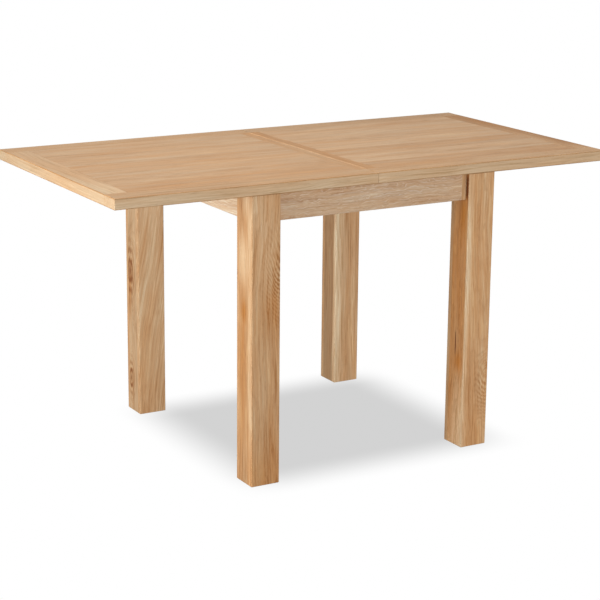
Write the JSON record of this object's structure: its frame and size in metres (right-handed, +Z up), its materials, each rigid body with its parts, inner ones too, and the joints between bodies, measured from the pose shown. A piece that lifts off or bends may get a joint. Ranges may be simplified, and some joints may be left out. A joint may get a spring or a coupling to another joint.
{
  "type": "fold-over extending dining table",
  "caption": "Fold-over extending dining table in oak: a framed plank top slides along a square-legged base, and its hinged leaf folds over onto the rest.",
  "frame": {"origin": "on the floor, under the middle of the open table", "axes": "+X along the table towards the flip leaf, +Y from front to back, +Z up"},
  "size_m": [1.45, 0.75, 0.78],
  "materials": {
    "oak_panel": "satin lacquered oak, planked",
    "oak_border": "satin lacquered solid oak",
    "oak_leg": "satin lacquered solid oak",
    "oak_apron": "satin lacquered solid oak",
    "beech": "bare sanded beech",
    "steel": "zinc plated",
    "brass": "satin",
    "nylon": "matt nylon",
    "rubber": "matt black rubber"
  },
  "bodies": {
    "base": {"leg_front_left": "oak_leg", "leg_front_right": "oak_leg", "leg_back_left": "oak_leg", "leg_back_right": "oak_leg", "foot_glide_front_left": "nylon", "foot_glide_front_right": "nylon", "foot_glide_back_left": "nylon", "foot_glide_back_right": "nylon", "corner_brace_front_left": "beech", "corner_brace_front_right": "beech", "corner_brace_back_left": "beech", "corner_brace_back_right": "beech", "leg_bolt_front_left": "steel", "leg_bolt_front_right": "steel", "leg_bolt_back_left": "steel", "leg_bolt_back_right": "steel", "leg_nut_front_left": "steel", "leg_nut_front_right": "steel", "leg_nut_back_left": "steel", "leg_nut_back_right": "steel", "apron_front": "oak_apron", "apron_back": "oak_apron", "apron_left": "oak_apron", "apron_right": "oak_apron", "cross_bearer": "beech", "guide_rail_front": "beech", "guide_rail_back": "beech", "glide_strip_front": "nylon", "glide_strip_back": "nylon", "bumper_front_left": "rubber", "bumper_front_right": "rubber", "bumper_back_left": "rubber", "bumper_back_right": "rubber"},
    "carrier": {"carrier_leaf_panel": "oak_panel", "carrier_leaf_front_border": "oak_border", "carrier_leaf_back_border": "oak_border", "carrier_leaf_end_border": "oak_border", "carrier_leaf_seam_border": "oak_border", "runner_front": "beech", "runner_back": "beech", "cross_bar_outer": "beech", "cross_bar_inner": "beech", "hinge_barrel_carrier_front": "brass", "hinge_barrel_carrier_middle": "brass", "hinge_barrel_carrier_back": "brass"},
    "flip_leaf": {"flip_leaf_panel": "oak_panel", "flip_leaf_front_border": "oak_border", "flip_leaf_back_border": "oak_border", "flip_leaf_end_border": "oak_border", "flip_leaf_seam_border": "oak_border", "hinge_barrel_flip_front": "brass", "hinge_barrel_flip_middle": "brass", "hinge_barrel_flip_back": "brass"},
    "hinge_links": {"hinge_link_front": "brass", "hinge_link_middle": "brass", "hinge_link_back": "brass"}
  },
  "joints": [
    {"name": "top_slide", "type": "slide", "parent": "base", "child": "carrier", "axis": [1, 0, 0], "range_m": [0, 0.3625]},
    {"name": "leaf_fold", "type": "hinge", "parent": "carrier", "child": "flip_leaf", "pos_m": [0, 0, 0.78025], "axis": [0, -1, 0], "range_deg": [0, 180]},
    {"name": "hinge_link_turn", "type": "hinge", "parent": "carrier", "child": "hinge_links", "pos_m": [0, 0, 0.78025], "axis": [0, -1, 0], "range_deg": [0, 90]}
  ],
  "couplings": [
    {"joint": "hinge_link_turn", "follows": "leaf_fold", "ratio": 0.5}
  ]
}
